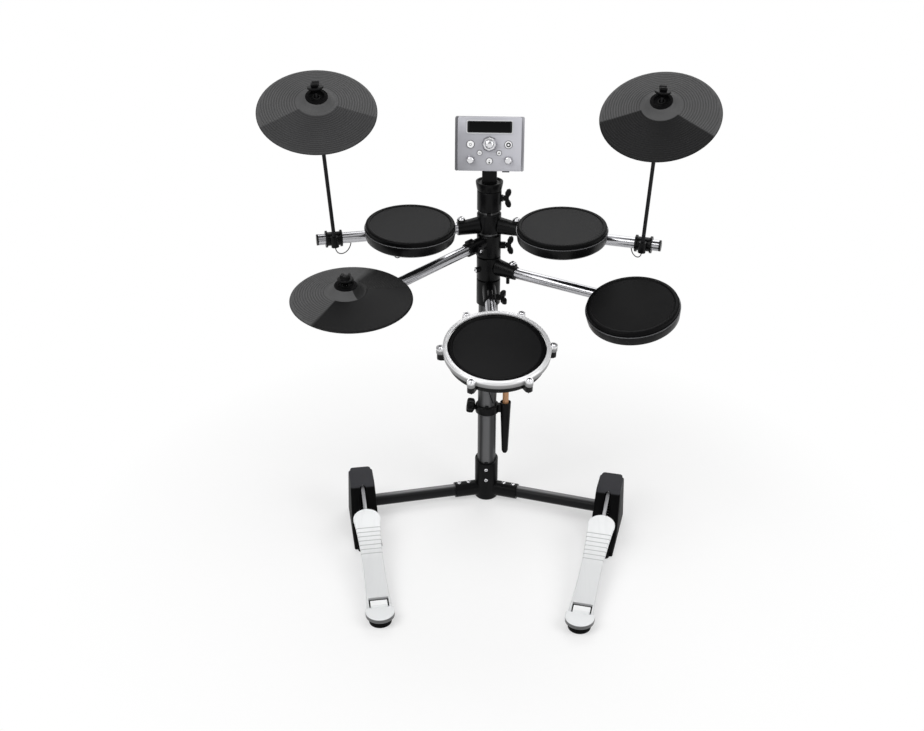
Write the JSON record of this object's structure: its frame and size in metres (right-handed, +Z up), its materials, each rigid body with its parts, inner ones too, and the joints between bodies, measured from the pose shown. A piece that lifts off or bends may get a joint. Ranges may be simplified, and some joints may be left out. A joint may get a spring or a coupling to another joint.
{
  "type": "electronic drum kit",
  "caption": "Compact electronic drum kit on a column: round rubber pads, tilting cymbals, a hooped snare pad, a sound module, drum sticks and hinged foot pedals.",
  "frame": {"origin": "on the floor, under the axis of the column", "axes": "+Z up the column, -Y towards the drummer, +X to the drummer's right as they face the kit"},
  "size_m": [0.9619, 0.5948, 1.0884],
  "materials": {
    "black_plastic": "gloss",
    "column_steel": "satin",
    "arm_chrome": "polished",
    "black_tube": "gloss",
    "pad_rubber": "matte",
    "cymbal_rubber": "matte",
    "white_plastic": "satin",
    "grey_metal": "satin",
    "silver_plastic": "satin",
    "dark_plastic": "satin",
    "display_glass": "gloss",
    "hoop_silver": "satin",
    "spring_steel": "satin",
    "stick_wood": "satin",
    "cord_rubber": "matte"
  },
  "bodies": {
    "stand": {"base_hub": "black_plastic", "column_tube": "column_steel", "leg_tubes": "black_tube", "pedal_towers": "black_plastic", "base_plates": "grey_metal", "heel_plates": "white_plastic", "heel_feet": "pad_rubber", "pedal_springs": "spring_steel"},
    "footboard_left": {"footboard_left": "white_plastic"},
    "footboard_right": {"footboard_right": "white_plastic"},
    "pull_link_left": {"pull_link_left": "arm_chrome"},
    "pull_link_right": {"pull_link_right": "arm_chrome"},
    "module_holder": {"module_sleeve": "black_plastic", "module_neck": "black_plastic"},
    "module_wing_bolt": {"module_wing_bolt": "black_plastic"},
    "module": {"module_front": "silver_plastic", "module_rear": "dark_plastic", "display_window": "display_glass"},
    "main_dial": {"main_dial": "arm_chrome"},
    "volume_knob": {"volume_knob": "arm_chrome"},
    "tempo_knob": {"tempo_knob": "arm_chrome"},
    "button_left": {"button_left": "silver_plastic"},
    "button_right": {"button_right": "silver_plastic"},
    "button_minus": {"button_minus": "silver_plastic"},
    "button_plus": {"button_plus": "silver_plastic"},
    "button_play": {"button_play": "silver_plastic"},
    "tom_bracket": {"tom_bracket": "black_plastic", "tom_arms": "arm_chrome", "arm_clamps_and_caps": "black_plastic", "crash_cables": "cord_rubber"},
    "tom_left": {"tom_left_shell": "black_plastic", "tom_left_rubber": "pad_rubber", "tom_cable": "cord_rubber"},
    "tom_right": {"tom_right_shell": "black_plastic", "tom_right_rubber": "pad_rubber"},
    "crash_left_rod": {"crash_left_rod": "black_tube"},
    "crash_left": {"crash_left_cymbal": "cymbal_rubber"},
    "crash_left_nut": {"crash_left_nut": "black_plastic"},
    "crash_right_rod": {"crash_right_rod": "black_tube"},
    "crash_right": {"crash_right_cymbal": "cymbal_rubber"},
    "crash_right_nut": {"crash_right_nut": "black_plastic"},
    "hihat_holder": {"hihat_sleeve": "black_plastic", "hihat_arm": "arm_chrome", "hihat_rod": "black_tube"},
    "hihat": {"hihat_cymbal": "cymbal_rubber"},
    "hihat_nut": {"hihat_nut": "black_plastic"},
    "hihat_wing_bolt": {"hihat_wing_bolt": "black_plastic"},
    "pad_holder": {"pad_sleeve": "black_plastic", "pad_arm": "arm_chrome"},
    "pad": {"pad_shell": "black_plastic", "pad_rubber": "pad_rubber"},
    "snare_holder": {"snare_sleeve": "black_plastic", "snare_arm": "arm_chrome", "snare_cable": "cord_rubber"},
    "snare": {"snare_shell": "black_plastic", "snare_hoop": "hoop_silver", "snare_head": "pad_rubber"},
    "snare_wing_bolt": {"snare_wing_bolt": "black_plastic"},
    "stick_holder": {"stick_holder": "black_plastic"},
    "sticks": {"drum_sticks": "stick_wood"}
  },
  "joints": [
    {"name": "footboard_left_press", "type": "hinge", "parent": "stand", "child": "footboard_left", "pos_m": [-0.21992, -0.48998, 0.024], "axis": [-0.9785, -0.2062, 0], "range_deg": [0, 8], "stiffness_Nm_per_rad": 6, "springref_deg": -8.59},
    {"name": "pull_link_left_slide", "type": "slide", "parent": "stand", "child": "pull_link_left", "axis": [-0.0157, 0.0745, -0.9971], "range_m": [0, 0.04152], "deforming": ["pedal_springs"]},
    {"name": "footboard_right_press", "type": "hinge", "parent": "stand", "child": "footboard_right", "pos_m": [0.21992, -0.48998, 0.024], "axis": [-0.9785, 0.2062, 0], "range_deg": [0, 8], "stiffness_Nm_per_rad": 6, "springref_deg": -8.59},
    {"name": "pull_link_right_slide", "type": "slide", "parent": "stand", "child": "pull_link_right", "axis": [0.0157, 0.0745, -0.9971], "range_m": [0, 0.04152], "deforming": ["pedal_springs"]},
    {"name": "module_swivel", "type": "hinge", "parent": "stand", "child": "module_holder", "pos_m": [0, 0, 0.766], "axis": [0, 0, 1], "range_deg": [-10, 10]},
    {"name": "module_tilt", "type": "hinge", "parent": "module_holder", "child": "module", "pos_m": [0, -0.00064, 0.88327], "axis": [1, 0, 0], "range_deg": [-18, 18]},
    {"name": "module_bolt_turn", "type": "hinge", "parent": "module_holder", "child": "module_wing_bolt", "pos_m": [0.031, 0, 0.79398], "axis": [1, 0, 0], "continuous": true},
    {"name": "main_dial_turn", "type": "hinge", "parent": "module", "child": "main_dial", "pos_m": [0, -0.03938, 0.93188], "axis": [0, -0.9767, 0.2148], "continuous": true},
    {"name": "volume_knob_turn", "type": "hinge", "parent": "module", "child": "volume_knob", "pos_m": [-0.04102, -0.04403, 0.89813], "axis": [0, -0.9984, 0.0572], "range_deg": [-150, 150]},
    {"name": "tempo_knob_turn", "type": "hinge", "parent": "module", "child": "tempo_knob", "pos_m": [0.04102, -0.04403, 0.89813], "axis": [0, -0.9984, 0.0572], "range_deg": [-150, 150]},
    {"name": "button_left_press", "type": "slide", "parent": "module", "child": "button_left", "axis": [0, 0.9781, -0.2079], "range_m": [0, 0.0012], "stiffness_N_per_m": 400, "springref_m": -0.001},
    {"name": "button_right_press", "type": "slide", "parent": "module", "child": "button_right", "axis": [0, 0.9781, -0.2079], "range_m": [0, 0.0012], "stiffness_N_per_m": 400, "springref_m": -0.001},
    {"name": "button_minus_press", "type": "slide", "parent": "module", "child": "button_minus", "axis": [0, 0.9921, -0.1251], "range_m": [0, 0.0012], "stiffness_N_per_m": 400, "springref_m": -0.001},
    {"name": "button_plus_press", "type": "slide", "parent": "module", "child": "button_plus", "axis": [0, 0.9921, -0.1251], "range_m": [0, 0.0012], "stiffness_N_per_m": 400, "springref_m": -0.001},
    {"name": "button_play_press", "type": "slide", "parent": "module", "child": "button_play", "axis": [0, 0.9992, -0.0408], "range_m": [0, 0.0012], "stiffness_N_per_m": 400, "springref_m": -0.001},
    {"name": "tom_swivel", "type": "hinge", "parent": "stand", "child": "tom_bracket", "pos_m": [0, 0, 0.715], "axis": [0, 0, 1], "range_deg": [-10, 10]},
    {"name": "tom_left_tilt", "type": "hinge", "parent": "tom_bracket", "child": "tom_left", "pos_m": [-0.18594, -0.04982, 0.72701], "axis": [0.9659, 0.2588, 0], "range_deg": [-10, 8]},
    {"name": "crash_left_rod_turn", "type": "hinge", "parent": "tom_bracket", "child": "crash_left_rod", "pos_m": [-0.3359, -0.1103, 0.72701], "axis": [-0.0698, 0, 0.9976], "range_deg": [-20, 20]},
    {"name": "crash_left_rock", "type": "hinge", "parent": "crash_left_rod", "child": "crash_left", "pos_m": [-0.3584, -0.1103, 1.04873], "axis": [0.9848, 0.1736, 0], "range_deg": [-8, 6], "stiffness_Nm_per_rad": 4},
    {"name": "crash_left_nut_turn", "type": "hinge", "parent": "crash_left_rod", "child": "crash_left_nut", "pos_m": [-0.3584, -0.1103, 1.04873], "axis": [-0.0698, 0, 0.9976], "continuous": true},
    {"name": "tom_right_tilt", "type": "hinge", "parent": "tom_bracket", "child": "tom_right", "pos_m": [0.17821, -0.04775, 0.72701], "axis": [0.9659, -0.2588, 0], "range_deg": [-10, 8]},
    {"name": "crash_right_rod_turn", "type": "hinge", "parent": "tom_bracket", "child": "crash_right_rod", "pos_m": [0.3359, -0.1103, 0.72701], "axis": [0.0558, 0, 0.9984], "range_deg": [-20, 20]},
    {"name": "crash_right_rock", "type": "hinge", "parent": "crash_right_rod", "child": "crash_right", "pos_m": [0.3539, -0.1103, 1.04901], "axis": [0.9563, -0.2924, 0], "range_deg": [-8, 4], "stiffness_Nm_per_rad": 4},
    {"name": "crash_right_nut_turn", "type": "hinge", "parent": "crash_right_rod", "child": "crash_right_nut", "pos_m": [0.3539, -0.1103, 1.04901], "axis": [0.0558, 0, 0.9984], "continuous": true},
    {"name": "hihat_swivel", "type": "hinge", "parent": "stand", "child": "hihat_holder", "pos_m": [0, 0, 0.6555], "axis": [0, 0, 1], "range_deg": [-10, 10]},
    {"name": "hihat_rock", "type": "hinge", "parent": "hihat_holder", "child": "hihat", "pos_m": [-0.28392, -0.33009, 0.72018], "axis": [0.9877, 0.1564, 0], "range_deg": [-4, 4], "stiffness_Nm_per_rad": 4},
    {"name": "hihat_nut_turn", "type": "hinge", "parent": "hihat_holder", "child": "hihat_nut", "pos_m": [-0.28392, -0.33009, 0.72018], "axis": [0, 0, 1], "continuous": true},
    {"name": "hihat_bolt_turn", "type": "hinge", "parent": "hihat_holder", "child": "hihat_wing_bolt", "pos_m": [0.038, 0, 0.68102], "axis": [1, 0, 0], "continuous": true},
    {"name": "pad_swivel", "type": "hinge", "parent": "stand", "child": "pad_holder", "pos_m": [0, 0, 0.5995], "axis": [0, 0, 1], "range_deg": [-10, 10]},
    {"name": "pad_tilt", "type": "hinge", "parent": "pad_holder", "child": "pad", "pos_m": [0.34571, -0.20121, 0.62749], "axis": [0.8643, -0.503, 0], "range_deg": [-10, 10]},
    {"name": "snare_swivel", "type": "hinge", "parent": "stand", "child": "snare_holder", "pos_m": [0, 0, 0.536], "axis": [0, 0, 1], "range_deg": [-10, 10]},
    {"name": "snare_roll", "type": "hinge", "parent": "snare_holder", "child": "snare", "pos_m": [0.02489, -0.2735, 0.51383], "axis": [0.0873, -0.9597, -0.2672], "range_deg": [-10, 10]},
    {"name": "snare_bolt_turn", "type": "hinge", "parent": "snare_holder", "child": "snare_wing_bolt", "pos_m": [0.02458, -0.05388, 0.57449], "axis": [0.9959, 0.0906, 0], "continuous": true},
    {"name": "stick_holder_swivel", "type": "hinge", "parent": "stand", "child": "stick_holder", "pos_m": [0, 0, 0.24302], "axis": [0, 0, 1], "range_deg": [-10, 10]},
    {"name": "sticks_lift", "type": "slide", "parent": "stick_holder", "child": "sticks", "axis": [0, 0, 1], "range_m": [0, 0.1]}
  ],
  "couplings": [
    {"joint": "pull_link_left_slide", "follows": "footboard_left_press", "m_per_rad": 0.29593},
    {"joint": "pull_link_right_slide", "follows": "footboard_right_press", "m_per_rad": 0.29593}
  ]
}
